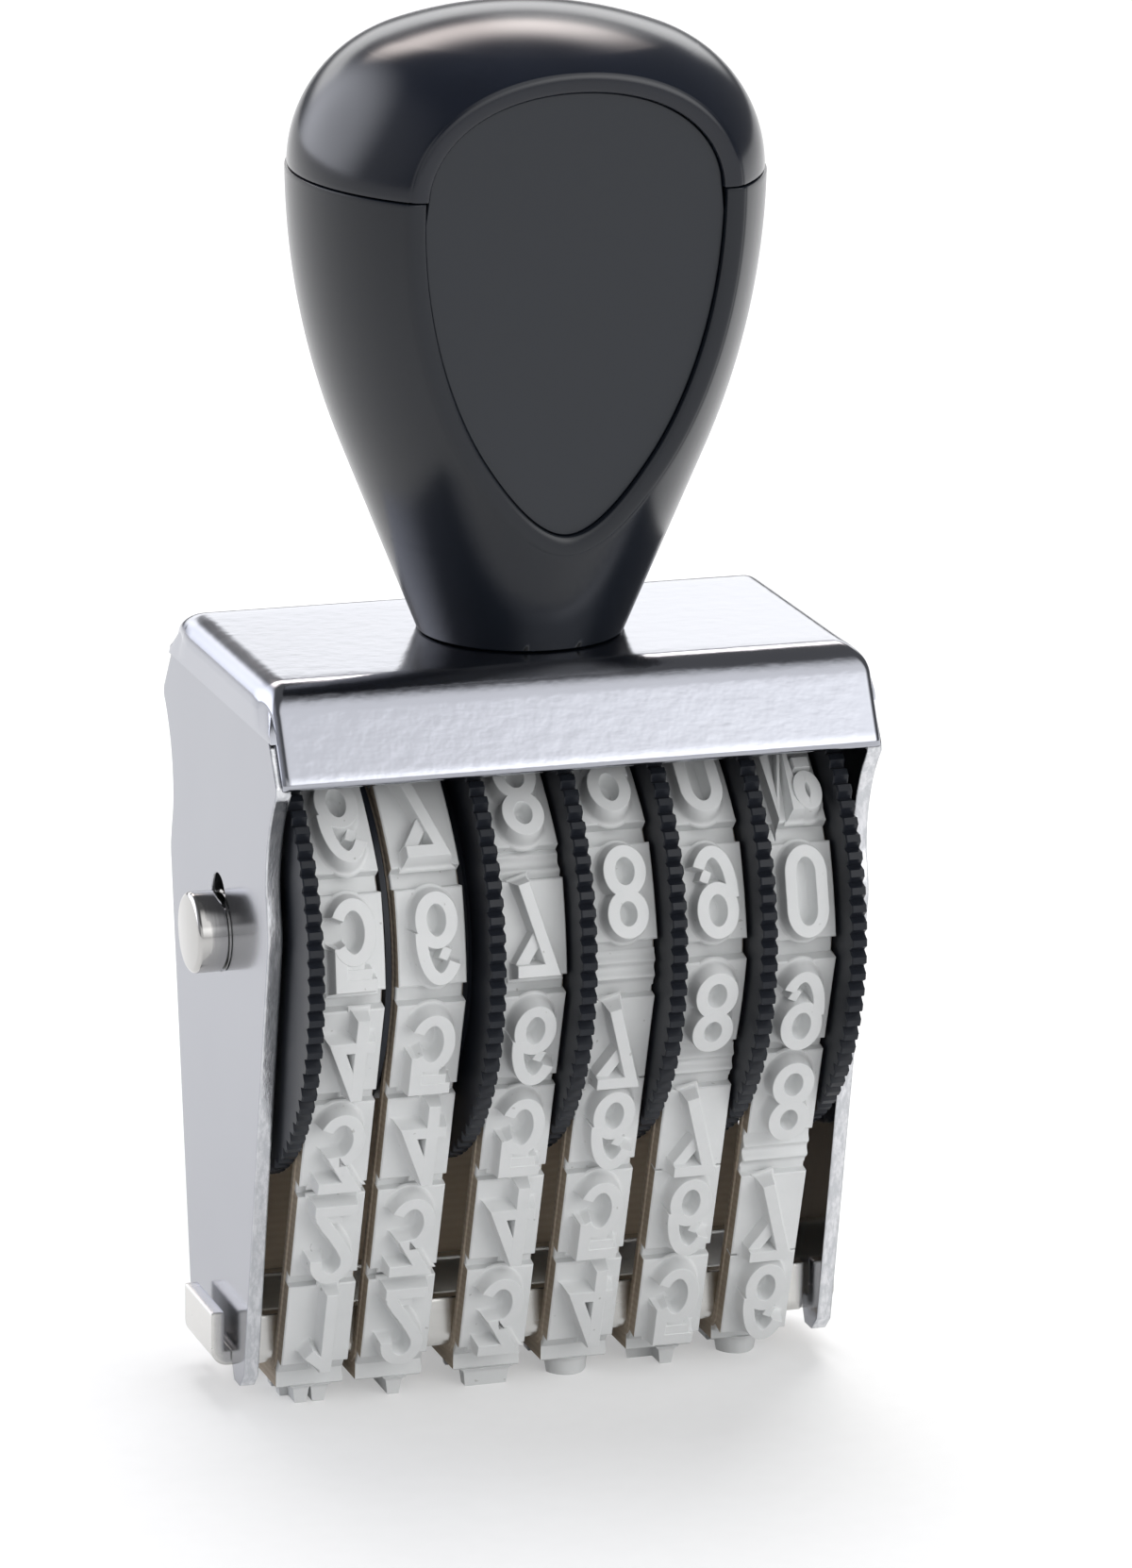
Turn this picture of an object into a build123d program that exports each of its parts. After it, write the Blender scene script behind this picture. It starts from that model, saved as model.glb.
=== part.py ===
"""Number stamp with six turning type bands, in a bent steel frame with a plastic handle. All sizes in mm."""
import os
from math import asin, atan2, cos, degrees, hypot, pi, sin, sqrt

from build123d import *

# Type bands: belt, pads and raised type
band_width = 3.75
belt_thick = 0.7
pad_rise = 0.5
type_rise = 1.0
pitch_line = 0.4
pad_gap = 0.7
splice_extra = 1.5
splice_rise = 0.3
splice_length = 1.3
splice_after = 7
type_height = 5.0
type_width = 2.7
type_count = 15
type_offset = 1.2

# Bridge: bent steel channel that the bands print on
sheet = 0.8
bridge_half_depth = 3.65
bridge_corner_r = 1.0
bridge_wall = 3.0
bridge_end_play = 0.3
tongue_half_width = 2.6
hook_gap = 0.4
hook_thick = 0.7
hook_height = 3.0
hook_bend_r = 0.9

# Number wheels: serrated rim beside a smooth drum
wheel_count = 6
rim_r = 13.25
rim_thick = 0.85
tooth_count = 88
tooth_depth = 0.45
band_seat_r = 9.85
drum_play = 0.15
wheel_gap = 0.15
lip_thick = 0.3
lip_r = 10.75

# Room beside the bands and at the ends of the row of wheels
left_end_play = 0.2
first_band_play = 0.33
pair_gap = 0.72
second_band_play = 0.7
band_left_play = 0.28
band_right_play = 0.17
right_end_play = 0.65

# Axle: steel pin held in two slots by the pull of the bands
axle_rise = 23.75
axle_r = 2.2
axle_overhang = 1.7
axle_chamfer = 0.35
bore_play = 0.05
slot_neck_r = 1.3
slot_rise = 1.0

# Frame: one bent steel sheet, an upside-down U with sloping flanges
top_half_depth = 8.6
flange_half_depth = 11.2
flange_drop = 4.85
flange_bend_r = 2.0
side_bend_r = 1.6
bend_cut = 1.3
corner_slit = 0.12
shoulder_drop = 0.9
waist_half_depth = 8.9
waist_rise = 5.05
swell_half_depth = 9.35
swell_rise = 1.65
foot_half_depth = 5.1
foot_drop = 0.65
foot_r = 0.8
notch_play = 0.15
notch_flare = 0.9
roof_play = 0.55

# Fixing: low screw and washer under the roof, brass insert in the neck
washer_r = 3.4
washer_thick = 0.35
screw_head_r = 2.8
screw_head = 0.7
screw_r = 1.5
screw_play = 0.2
screw_grip = 6.35
insert_r = 2.6
insert_play = 0.05
insert_spare = 1.65

# Handle: turned shape with a tilted flat on the front and on the back
neck_r = 5.55
cone_share = 0.5833
cone_height = 10.3
seam_r = 12.75
seam_height = 25.3
cap_step = 0.1
cap_height = 8.5
shoulder_r = 7.6
flat_share = 0.6212
flat_height = 6.0
flat_slope = 0.0434
bezel_width = 1.05
badge_thick = 0.6
badge_recess = 0.3
badge_play = 0.1
badge_arcs = 12
spigot_wall = 0.66
spigot_length = 2.5
spigot_play = 0.1

# Heights, from the printing face upwards; the roof clears the rims and the type that goes round under it
bridge_z = belt_thick + pad_rise + type_rise
axle_z = bridge_z + axle_rise
turning_r = max(rim_r, hypot(band_seat_r + bridge_z, type_height / 2))
top_z = axle_z + turning_r + roof_play + screw_head + washer_thick + sheet
cone_z = top_z + cone_height
seam_z = top_z + seam_height
cap_top_z = seam_z + cap_height

# Handle's side, a cone for part of the way out to the seam, and its flats
cone_r = neck_r + cone_share * (seam_r - neck_r)
flat_y = flat_share * seam_r

# Widths, from the row of wheels and bands outwards
wheel_pitch = rim_thick + band_left_play + band_width + band_right_play
pair_width = 2 * rim_thick + first_band_play + 2 * band_width + pair_gap + second_band_play
row_width = pair_width + (wheel_count - 2) * wheel_pitch
half_width = (left_end_play + row_width + right_end_play) / 2 + sheet
row_x = left_end_play + sheet - half_width

# Band path: two lines that touch the drum and the bridge corners
corner_y = bridge_half_depth - bridge_corner_r
corner_z = bridge_z + bridge_corner_r
corner_reach = hypot(corner_y, axle_z - corner_z)
lean = asin((band_seat_r - bridge_corner_r) / corner_reach) - atan2(corner_y, axle_z - corner_z)
run_length = sqrt(corner_reach**2 - (band_seat_r - bridge_corner_r) ** 2)
corner_path = (bridge_corner_r + pitch_line) * (pi / 2 - lean)
drum_path = (band_seat_r + pitch_line) * (pi + 2 * lean)
loop_length = 2 * corner_y + 2 * corner_path + 2 * run_length + drum_path
type_pitch = (loop_length - splice_extra) / type_count


def block(x0, x1, y0, y1, z0, z1):
    """A box between two corners."""
    return Pos((x0 + x1) / 2, (y0 + y1) / 2, (z0 + z1) / 2) * Box(abs(x1 - x0), y1 - y0, z1 - z0)


def bar_x(radius, x0, x1):
    """A round bar along the wheels' axis."""
    return Pos((x0 + x1) / 2, 0, axle_z) * Rot(0, 90, 0) * Cylinder(radius, x1 - x0)


def bar_z(radius, z0, z1):
    """A round bar along the handle's axis."""
    return Pos(0, 0, (z0 + z1) / 2) * Cylinder(radius, z1 - z0)


def slab_x(face, x0, x1):
    """A flat drawing in Y and Z, given thickness from x0 to x1."""
    return extrude(Plane.YZ.offset(min(x0, x1)) * face, abs(x1 - x0))


def crown_outline():
    """The roof and flange shape seen from the side, running on below the flange edge."""
    slope = (flange_half_depth - top_half_depth) / flange_drop
    low_z = top_z - 2 * flange_drop
    low_y = top_half_depth + 2 * flange_drop * slope
    corners = [(-low_y, low_z), (-top_half_depth, top_z), (top_half_depth, top_z), (low_y, low_z)]
    shape = make_face(Polyline(*corners, close=True))
    return fillet(shape.vertices().group_by(Axis.Y)[-1], flange_bend_r)


def plate_half():
    """One half of a side plate's outline, from the roof bend down to the foot and the notch."""
    bend_z = top_z - side_bend_r
    shoulder_z = top_z - shoulder_drop
    flange_z = top_z - flange_drop
    waist_z = axle_z + waist_rise
    swell_z = axle_z + swell_rise
    foot_z = bridge_z - foot_drop
    bend_y = top_half_depth - bend_cut
    notch_y = tongue_half_width + notch_play
    taper = (swell_half_depth - foot_half_depth) / (swell_z - foot_z - foot_r)
    shoulder = Polyline(
        (0, bend_z), (bend_y, bend_z), (bend_y, shoulder_z), (top_half_depth, shoulder_z),
        (flange_half_depth, flange_z),
    )
    neck = TangentArc((waist_half_depth, waist_z), (flange_half_depth, flange_z), tangent=(0, 1))
    swell = Spline((waist_half_depth, waist_z), (swell_half_depth, swell_z), tangents=((0, -1), (-taper, -1)))
    foot = Polyline(
        (swell_half_depth, swell_z), (foot_half_depth, foot_z + foot_r), (foot_half_depth - foot_r, foot_z),
        (notch_y + notch_flare / 2, foot_z), (notch_y, foot_z + notch_flare), (notch_y, bridge_z + sheet),
        (0, bridge_z + sheet), (0, bend_z),
    )
    return make_face([line.edges() for line in (shoulder, neck, swell, foot)])


def axle_slot():
    """The slot in a side plate: round below for the axle, narrower and round above."""
    neck_z = axle_z + axle_r + slot_rise - slot_neck_r
    slot = Pos(0, axle_z) * Circle(axle_r)
    slot += Pos(0, neck_z) * Circle(slot_neck_r)
    return slot + Pos(0, (axle_z + neck_z) / 2) * Rectangle(2 * slot_neck_r, neck_z - axle_z)


def make_frame():
    """The bent sheet: roof, two flanges and two side plates with axle slots."""
    outline = crown_outline()
    ring = outline - offset(outline, -sheet)
    ring &= Pos(0, top_z - flange_drop / 2) * Rectangle(4 * flange_half_depth, flange_drop)
    inner_x = half_width - sheet
    body = slab_x(ring, corner_slit - inner_x, inner_x - corner_slit)
    half = plate_half()
    plate = half + mirror(half, Plane.YZ) - axle_slot()
    bend_x = half_width - side_bend_r
    bend_y = top_half_depth - bend_cut
    bend = Rot(90, 0, 0) * (Cylinder(side_bend_r, 2 * bend_y) - Cylinder(side_bend_r - sheet, 2 * bend_y))
    for side in (-1, 1):
        room = block(side * bend_x, side * half_width, -bend_y, bend_y, top_z - side_bend_r, top_z)
        body -= room
        body += (Pos(side * bend_x, 0, top_z - side_bend_r) * bend) & room
        body += slab_x(plate, side * inner_x, side * half_width)
    return body - bar_z(screw_r + screw_play, top_z - 2 * sheet, top_z + sheet)


def make_bridge():
    """The printing bridge: a channel with a hooked tongue at each end."""
    width = 2 * bridge_half_depth
    outer = Pos(0, bridge_z + bridge_wall) * Rectangle(width, 2 * bridge_wall)
    outer = fillet(outer.vertices().group_by(Axis.Y)[0], bridge_corner_r)
    section = outer - offset(outer, -sheet)
    section &= Pos(0, bridge_z + bridge_wall / 2) * Rectangle(width, bridge_wall)
    end_x = half_width - sheet - bridge_end_play
    start_x = end_x - 2 * sheet
    gap_x = half_width + hook_gap
    hook_x = gap_x + hook_thick
    hook = Pos((start_x + hook_x) / 2, bridge_z + hook_height / 2) * Rectangle(hook_x - start_x, hook_height)
    hook = fillet(hook.vertices().group_by(Axis.X)[-1].group_by(Axis.Y)[0], hook_bend_r)
    over_tongue_z = bridge_z + sheet + hook_height / 2
    hook -= Pos((start_x + gap_x) / 2, over_tongue_z) * Rectangle(gap_x - start_x, hook_height)
    tongue = Pos(0, tongue_half_width, 0) * extrude(Plane.XZ * hook, 2 * tongue_half_width)
    return slab_x(section, -end_x, end_x) + tongue + mirror(tongue, Plane.YZ)


def make_axle():
    """The wheel axle, chamfered at both ends."""
    end = half_width + axle_overhang
    pin = bar_x(axle_r, -end, end)
    rings = pin.edges().group_by(Axis.X)
    return chamfer(rings[0] + rings[-1], axle_chamfer)


def rim_outline():
    """A ring of pointed teeth."""
    step = pi / tooth_count
    points = []
    for i in range(2 * tooth_count):
        radius = rim_r - tooth_depth * (i % 2)
        points.append((radius * cos(i * step), radius * sin(i * step)))
    return Pos(0, axle_z) * make_face(Polyline(*points, close=True))


def rim_left(index):
    """Left face of one wheel's rim."""
    if index == 1:
        return row_x
    return row_x + pair_width - rim_thick + (index - 2) * wheel_pitch


def band_left(index):
    """Left edge of one band."""
    first = row_x + rim_thick + first_band_play
    if index < 3:
        return first + (index - 1) * (band_width + pair_gap)
    return rim_left(index - 1) + rim_thick + band_left_play


def make_wheel(index):
    """One number wheel; the first is turned round, with its rim on the left and a low lip on the right."""
    left = rim_left(index)
    middle = band_left(2) - pair_gap / 2
    wheel = slab_x(rim_outline(), left, left + rim_thick)
    drum_r = band_seat_r - drum_play
    if index == 1:
        end = middle - wheel_gap / 2 + lip_thick / 2
        wheel += bar_x(drum_r, left + rim_thick, end)
        wheel += bar_x(lip_r, end - lip_thick, end)
    elif index == 2:
        wheel += bar_x(drum_r, middle + wheel_gap / 2 + lip_thick / 2, left)
    else:
        wheel += bar_x(drum_r, left + rim_thick - wheel_pitch + wheel_gap, left)
    return wheel - bar_x(axle_r + bore_play, -half_width, half_width)


def loop_face(out):
    """The closed band path, moved outwards by a given amount, as a face in Y and Z."""
    seat = band_seat_r + out
    turn = bridge_corner_r + out
    ny, nz = cos(lean), sin(lean)
    half = (lean + pi / 2) / 2
    seat_y, seat_z = seat * ny, axle_z - seat * nz
    side_y, side_z = corner_y + turn * ny, corner_z - turn * nz
    mid_y, mid_z = corner_y + turn * cos(half), corner_z - turn * sin(half)
    low_z = corner_z - turn
    over = ThreePointArc((-seat_y, seat_z), (0, axle_z + seat), (seat_y, seat_z))
    rear = Line((seat_y, seat_z), (side_y, side_z))
    rear_turn = ThreePointArc((side_y, side_z), (mid_y, mid_z), (corner_y, low_z))
    base = Line((corner_y, low_z), (-corner_y, low_z))
    front_turn = ThreePointArc((-corner_y, low_z), (-mid_y, mid_z), (-side_y, side_z))
    front = Line((-side_y, side_z), (-seat_y, seat_z))
    return make_face([line.edges() for line in (over, rear, rear_turn, base, front_turn, front)])


def loop_place(s, out):
    """Point and outward angle on the path, s measured from the bottom centre towards the front and up."""
    s = s % loop_length
    behind = s > loop_length / 2
    s = loop_length - s if behind else s
    if s <= corner_y:
        y, z, angle = -s, bridge_z, -pi / 2
    elif s <= corner_y + corner_path:
        angle = -pi / 2 - (s - corner_y) / (bridge_corner_r + pitch_line)
        y, z = -corner_y + bridge_corner_r * cos(angle), corner_z + bridge_corner_r * sin(angle)
    elif s <= corner_y + corner_path + run_length:
        angle = lean - pi
        along = s - corner_y - corner_path
        y = -corner_y - bridge_corner_r * cos(lean) - along * sin(lean)
        z = corner_z - bridge_corner_r * sin(lean) + along * cos(lean)
    else:
        angle = lean - pi - (s - corner_y - corner_path - run_length) / (band_seat_r + pitch_line)
        y, z = band_seat_r * cos(angle), axle_z + band_seat_r * sin(angle)
    y, z = y + out * cos(angle), z + out * sin(angle)
    return (-y, z, pi - angle) if behind else (y, z, angle)


def tile(s, low, high, length):
    """A small rectangle across the path, between two heights above it."""
    y, z, angle = loop_place(s, (low + high) / 2)
    return Pos(y, z) * Rot(0, 0, degrees(angle)) * Rectangle(high - low, length)


def make_band(index):
    """One type band: belt with pads, a splice and a plain block for each character."""
    pad_top = belt_thick + pad_rise
    face_top = pad_top + type_rise
    first = type_offset - (index - 1) * type_pitch
    places = [first + i * type_pitch + (splice_extra if i > splice_after else 0) for i in range(type_count)]
    splice = first + (splice_after + 0.5) * type_pitch + splice_extra / 2
    section = loop_face(belt_thick) - loop_face(0)
    for s in places:
        section += tile(s, 0, pad_top, type_pitch - pad_gap)
    section += tile(splice, 0, belt_thick + splice_rise, splice_length)
    left = band_left(index)
    middle = left + band_width / 2
    band = slab_x(section, left, left + band_width)
    for s in places:
        character = tile(s, belt_thick, face_top, type_height)
        band += slab_x(character, middle - type_width / 2, middle + type_width / 2)
    return band


def flat_at(z):
    """Distance of the tilted flats from the handle's middle at one height."""
    return flat_y + flat_slope * (z - top_z - flat_height)


def between_flats():
    """The space between the two tilted flats of the handle."""
    z0, z1 = top_z, cap_top_z
    y0, y1 = flat_at(z0), flat_at(z1)
    shape = make_face(Polyline((-y0, z0), (y0, z0), (y1, z1), (-y1, z1), close=True))
    return slab_x(shape, -2 * seam_r, 2 * seam_r)


def turned_grip():
    """The grip before its flats: a straight cone, then an arc that ends upright at the seam."""
    cone = Line((neck_r, top_z), (cone_r, cone_z))
    swell = TangentArc((cone_r, cone_z), (seam_r, seam_z), tangent=(cone_r - neck_r, cone_height))
    closing = Polyline((seam_r, seam_z), (0, seam_z), (0, top_z), (neck_r, top_z))
    return revolve(Plane.XZ * make_face([line.edges() for line in (cone, swell, closing)]), Axis.Z)


def turned_cap(radius):
    """The cap before its flats: a round shoulder that runs into a flatter crown."""
    inner = radius - shoulder_r
    crown_r = (radius**2 + cap_height**2 - 2 * radius * shoulder_r) / (2 * (cap_height - shoulder_r))
    crown_z = cap_top_z - crown_r
    share = crown_r / (crown_r - shoulder_r)
    join = (inner * share, crown_z + (seam_z - crown_z) * share)
    shoulder = TangentArc((radius, seam_z), join, tangent=(0, 1))
    crown = TangentArc((0, cap_top_z), join, tangent=(1, 0))
    closing = Polyline((0, cap_top_z), (0, seam_z), (radius, seam_z))
    return revolve(Plane.XZ * make_face([line.edges() for line in (shoulder, crown, closing)]), Axis.Z)


def badge_blank(flat, margin, depth, lift):
    """A sheet with the badge's outline, from a depth below the flat up to a lift above it."""
    outward = flat.normal_at()
    border = offset(flat, -margin).faces()[0].outer_wire()
    points = [border @ (i / badge_arcs / 2) for i in range(2 * badge_arcs)] + [border @ 0]
    arcs = [Edge.make_three_point_arc(*points[i:i + 3]) for i in range(0, 2 * badge_arcs, 2)]
    outline = Face(Wire(arcs))
    return extrude(outline.moved(Location(outward * -depth)), depth + lift, dir=outward)


def make_handle():
    """Grip, cap and the badge in front of both."""
    room = between_flats()
    flat = ((turned_grip() + turned_cap(seam_r)) & room).faces().sort_by(Axis.Y)[0]
    pocket_depth = badge_thick + badge_recess
    pocket = badge_blank(flat, bezel_width, pocket_depth, pocket_depth)
    badge = badge_blank(flat, bezel_width + badge_play, pocket_depth, -badge_recess)
    socket_r = flat_at(seam_z - spigot_length) - pocket_depth - spigot_wall
    insert_top = top_z + screw_grip + insert_spare
    grip = turned_grip() & room
    grip -= pocket
    grip -= bar_z(socket_r, seam_z - spigot_length, seam_z)
    grip -= bar_z(insert_r + insert_play, top_z, insert_top)
    cap = turned_cap(seam_r - cap_step) & room
    cap -= pocket
    cap += bar_z(socket_r - spigot_play, seam_z - spigot_length + spigot_play, seam_z)
    return {"handle_grip": grip, "handle_cap": cap, "badge": badge}


def make_fixing():
    """Screw, washer and insert that hold the handle on the roof."""
    washer_z = top_z - sheet
    head_z = washer_z - washer_thick
    washer = bar_z(washer_r, head_z, washer_z) - bar_z(screw_r + screw_play, head_z, washer_z)
    screw = bar_z(screw_head_r, head_z - screw_head, head_z) + bar_z(screw_r, head_z, top_z + screw_grip)
    insert_top = top_z + screw_grip + insert_spare
    insert = bar_z(insert_r, top_z, insert_top) - bar_z(screw_r + insert_play, top_z, insert_top)
    return {"handle_screw": screw, "screw_washer": washer, "threaded_insert": insert}


def main():
    """Build every piece and write one STEP file for each."""
    parts = {"frame": make_frame(), "bridge": make_bridge(), "axle": make_axle()}
    for i in range(1, wheel_count + 1):
        parts[f"number_wheel_{i}"] = make_wheel(i)
        parts[f"type_band_{i}"] = make_band(i)
    parts.update(make_handle())
    parts.update(make_fixing())
    os.makedirs("parts", exist_ok=True)
    for name, shape in parts.items():
        export_step(shape, f"parts/{name}.step")


main()
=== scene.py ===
from math import asin, atan2, cos, hypot, pi, radians, sin, sqrt, tan

import bmesh
import bpy
import numpy as np
from mathutils import Matrix, Vector


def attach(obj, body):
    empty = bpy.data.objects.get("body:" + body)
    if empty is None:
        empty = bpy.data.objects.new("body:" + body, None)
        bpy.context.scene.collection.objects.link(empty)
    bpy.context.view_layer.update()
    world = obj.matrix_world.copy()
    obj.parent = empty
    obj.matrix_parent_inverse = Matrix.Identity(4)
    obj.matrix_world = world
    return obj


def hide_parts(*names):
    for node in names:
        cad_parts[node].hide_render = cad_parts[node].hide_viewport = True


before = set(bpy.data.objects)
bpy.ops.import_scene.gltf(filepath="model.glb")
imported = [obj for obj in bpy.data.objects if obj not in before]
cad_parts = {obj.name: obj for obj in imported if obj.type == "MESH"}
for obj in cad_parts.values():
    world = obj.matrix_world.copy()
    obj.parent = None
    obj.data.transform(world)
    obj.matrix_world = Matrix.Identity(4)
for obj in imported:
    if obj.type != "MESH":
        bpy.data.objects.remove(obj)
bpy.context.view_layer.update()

# Frame: one strip of cold-rolled steel, blanked, bent into an upside-down U with a sloping flange in front and
# behind, then bright plated. The roof and flanges keep the grain of the rolled sheet, and the blanked edges are rough.
MM = 0.001
SHEET = 0.8
HALF_WIDTH = 16.8
TOP_Z = 41.6
ROOF_HALF, FLANGE_HALF, FLANGE_DROP = 8.6, 11.2, 4.85
BEND_R, SIDE_BEND_R, FLANGE_END_R = 2.6, 1.5, 0.5
FLANGE_SHORT, FLANGE_FLUSH = 0.28, 0.04
HOOD_LOW = 39.2
SET_BACK = 0.45
SKIRT_PROUD = 0.004
KNEE_RISE, KNEE_SPREAD = 0.12, 1.072
FOOT_DROP, FOOT_SPREAD = 0.35, 1.10


def linear(code):
    """sRGB hex to linear colour: a straight part near black, then a power of 2.4."""
    c = np.array([int(code[i:i + 2], 16) for i in (1, 3, 5)]) / 255
    return (*np.where(c <= 0.04045, c / 12.92, ((c + 0.055) / 1.055) ** 2.4), 1.0)


def add(tree, kind, inputs=(), **settings):
    """Adds a shader node; each input gets a value, or a link where an output socket is given."""
    made = tree.nodes.new("ShaderNode" + kind)
    for key, value in settings.items():
        setattr(made, key, value)
    for key, value in dict(inputs).items():
        if isinstance(value, bpy.types.NodeSocket):
            tree.links.new(value, made.inputs[key])
        else:
            made.inputs[key].default_value = value
    return made


def blank(name):
    """A new material with an empty tree, and its Object coordinates, in metres."""
    material = bpy.data.materials.new(name)
    material.use_nodes = True
    material.node_tree.nodes.clear()
    return material, material.node_tree, add(material.node_tree, "TexCoord").outputs["Object"]


def per_mm(size):
    """Texture scale that repeats once in this many millimetres of Object coordinates."""
    return 1 / (size * MM)


def stretched(tree, place, *scale):
    """Coordinates scaled along X, Y and Z, so that a pattern is drawn out where the scale is small."""
    return add(tree, "Mapping", {"Vector": place, "Scale": scale}).outputs[0]


def noise(tree, place, size, detail, rough=0.5):
    """Noise with patches of this many millimetres."""
    inputs = {"Vector": place, "Scale": per_mm(size), "Detail": detail, "Roughness": rough}
    return add(tree, "TexNoise", inputs).outputs["Fac"]


def spread(tree, value, low, high, start=0.0, stop=1.0, **settings):
    """Maps a value that runs from start to stop on to low to high."""
    inputs = {"Value": value, "From Min": start, "From Max": stop, "To Min": low, "To Max": high}
    return add(tree, "MapRange", inputs, **settings).outputs[0]


def mixed(tree, share, *colours):
    """Mixes two colours, hex codes or outputs, by the share of the second."""
    first, second = [linear(colour) if isinstance(colour, str) else colour for colour in colours]
    return add(tree, "MixRGB", {"Fac": share, "Color1": first, "Color2": second}).outputs[0]


def eased_edge(tree, radius):
    """Normals that round sharp edges by a radius in millimetres."""
    return add(tree, "Bevel", {"Radius": radius * MM}, samples=6).outputs[0]


def bumped(tree, height, strength, depth, normal=None):
    """Bump with a depth in millimetres, on top of another normal where one is given."""
    inputs = {"Height": height, "Strength": strength, "Distance": depth * MM}
    if normal is not None:
        inputs["Normal"] = normal
    return add(tree, "Bump", inputs).outputs[0]


def finish(tree, **inputs):
    """Ends a material with the layered shader; names with _ stand for the sockets' names with spaces."""
    shader = add(tree, "BsdfPrincipled", {key.replace("_", " "): value for key, value in inputs.items()})
    add(tree, "OutputMaterial", {"Surface": shader.outputs[0]})


def plated_sheet(name, dark, pale, eased):
    """Bright plate on rolled steel: a cold mirror, broken on the roof and flanges by a rolling grain and a faint orange
    peel, which the bends iron out towards the smooth side plates. Eased plates catch the light on their edges."""
    material, tree, place = blank(name)
    part = add(tree, "SeparateXYZ", {"Vector": place}).outputs
    from_middle = add(tree, "Math", {0: part["X"]}, operation="ABSOLUTE").outputs[0]
    ironed = spread(tree, from_middle, 0.40, 0.03, (HALF_WIDTH - SIDE_BEND_R) * MM, (HALF_WIDTH - 0.2) * MM,
                    interpolation_type="SMOOTHSTEP")
    on_roof = spread(tree, part["Z"], 1.0, 0.45, (TOP_Z - 0.6) * MM, (TOP_Z - 0.1) * MM)
    depth = add(tree, "Math", {0: ironed, 1: on_roof}, operation="MULTIPLY").outputs[0]
    grain = noise(tree, stretched(tree, place, 0.25, 1, 1), 0.30, 3.0, 0.55)
    peel = noise(tree, place, 0.9, 2.0)
    cloud = noise(tree, place, 9.0, 2.0)
    bump = bumped(tree, grain, depth, 0.016, eased_edge(tree, 0.18) if eased else None)
    finish(tree, Base_Color=mixed(tree, cloud, dark, pale), Metallic=1.0, Roughness=spread(tree, cloud, 0.10, 0.17),
           Normal=bumped(tree, peel, depth, 0.055, bump))
    return material


def cut_edge():
    """Blanked edge of the sheet: half sheared bright, half torn and grey, under the same plate."""
    material, tree, place = blank("plated_blanked_edge")
    tear = noise(tree, stretched(tree, place, 1, 1, 0.35), 0.35, 4.0, 0.7)
    bright = spread(tree, tear, 0, 1, 0.42, 0.62)
    finish(tree, Base_Color=mixed(tree, bright, "#c4c6ca", "#dddee1"), Metallic=1.0, Roughness=0.20,
           Normal=bumped(tree, tear, 0.20, 0.05, eased_edge(tree, 0.18)))
    return material


def clean_copy(name, node, materials, pick, trim=None):
    """Copy of a CAD solid with its triangles joined into flat faces; the materials round its edges.
    pick(centre, normal) gives the number of each face's material; trim cuts the copy first."""
    mesh = bpy.data.meshes.new(name)
    work = bmesh.new()
    work.from_mesh(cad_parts[node].data)
    bmesh.ops.remove_doubles(work, verts=work.verts, dist=0.001 * MM)
    if trim:
        trim(work)
    bmesh.ops.dissolve_limit(work, angle_limit=radians(0.3), verts=work.verts, edges=work.edges)
    work.to_mesh(mesh)
    work.free()
    mesh.materials.clear()
    for material in materials:
        mesh.materials.append(material)
    centre = np.empty(len(mesh.polygons) * 3)
    normal = np.empty(len(mesh.polygons) * 3)
    mesh.polygons.foreach_get("center", centre)
    mesh.polygons.foreach_get("normal", normal)
    picked = pick(centre.reshape(-1, 3) / MM, normal.reshape(-1, 3))
    mesh.polygons.foreach_set("material_index", picked.astype(np.int32))
    mesh.shade_smooth()
    mesh.set_sharp_from_angle(angle=radians(30))
    made = bpy.data.objects.new(name, mesh)
    bpy.context.scene.collection.objects.link(made)
    return made


def piece(name, skins, materials, sharp=35):
    """Joins grids of points (rows, columns, xyz in mm) into one mesh. A skin is (grid, rows closed, columns closed,
    material). Seams and poles are merged and all faces turned outwards; edges above the sharp angle stay crisp."""
    points, quads, index, start = [], [], [], 0
    for grid, round_rows, round_columns, which in skins:
        rows, columns = grid.shape[:2]
        r, c = np.meshgrid(np.arange(rows - (not round_rows)), np.arange(columns - (not round_columns)), indexing="ij")
        r1, c1 = (r + 1) % rows, (c + 1) % columns
        corners = np.stack([r * columns + c, r1 * columns + c, r1 * columns + c1, r * columns + c1], -1)
        quads.append(start + corners.reshape(-1, 4))
        index.append(np.full(r.size, which))
        points.append(grid.reshape(-1, 3))
        start += rows * columns
    points, quads, index = np.concatenate(points) * MM, np.concatenate(quads), np.concatenate(index)
    mesh = bpy.data.meshes.new(name)
    mesh.vertices.add(len(points))
    mesh.vertices.foreach_set("co", points.ravel())
    mesh.loops.add(quads.size)
    mesh.loops.foreach_set("vertex_index", quads.ravel().astype(np.int32))
    mesh.polygons.add(len(quads))
    mesh.polygons.foreach_set("loop_start", np.arange(0, quads.size, 4, dtype=np.int32))
    mesh.polygons.foreach_set("material_index", index.astype(np.int32))
    mesh.update(calc_edges=True)
    work = bmesh.new()
    work.from_mesh(mesh)
    bmesh.ops.remove_doubles(work, verts=work.verts, dist=0.0005 * MM)
    bmesh.ops.recalc_face_normals(work, faces=work.faces)
    work.to_mesh(mesh)
    work.free()
    for material in materials:
        mesh.materials.append(material)
    mesh.shade_smooth()
    mesh.set_sharp_from_angle(angle=radians(sharp))
    made = bpy.data.objects.new(name, mesh)
    bpy.context.scene.collection.objects.link(made)
    return made


def settle(made, body, slot, *nodes):
    """A finished piece rides its body and stands for its CAD nodes; its slot is not used."""
    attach(made, body)
    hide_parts(*nodes)


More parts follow.
